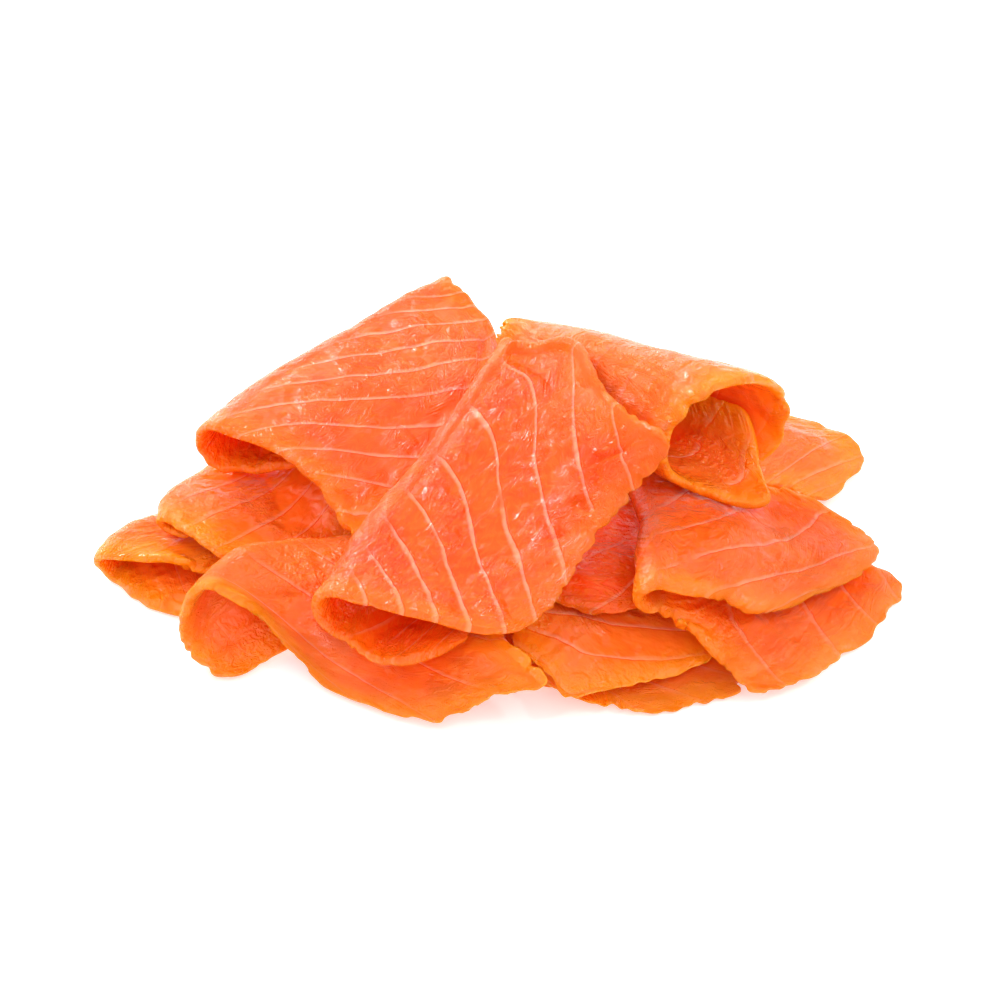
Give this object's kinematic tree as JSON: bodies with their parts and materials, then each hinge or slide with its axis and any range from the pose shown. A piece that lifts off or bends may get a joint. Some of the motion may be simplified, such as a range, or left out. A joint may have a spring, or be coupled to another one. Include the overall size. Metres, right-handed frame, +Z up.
{
  "type": "smoked salmon slices",
  "caption": "Loose heap of thin smoked salmon slices, folded over with soft round folds, one of them rolled into an open tube.",
  "frame": {"origin": "middle of the heap's bounding box in plan, at the surface that the heap lies on", "axes": "+Z up, +X to the right and -Y towards the viewer who looks at the open fold mouths; the heap is longest along X"},
  "size_m": [0.1944, 0.1328, 0.0461],
  "materials": {
    "flesh": "moist oily raw fish, orange, with pale soft fat lines"
  },
  "bodies": {
    "root": {"slice_bottom": "flesh", "slice_back": "flesh", "slice_far_left": "flesh", "slice_back_right": "flesh", "slice_front_right": "flesh", "slice_back_upper": "flesh", "slice_left": "flesh", "slice_front_left": "flesh", "slice_middle_right": "flesh", "slice_right": "flesh", "slice_back_left": "flesh", "slice_rolled": "flesh", "slice_top": "flesh"}
  },
  "joints": []
}
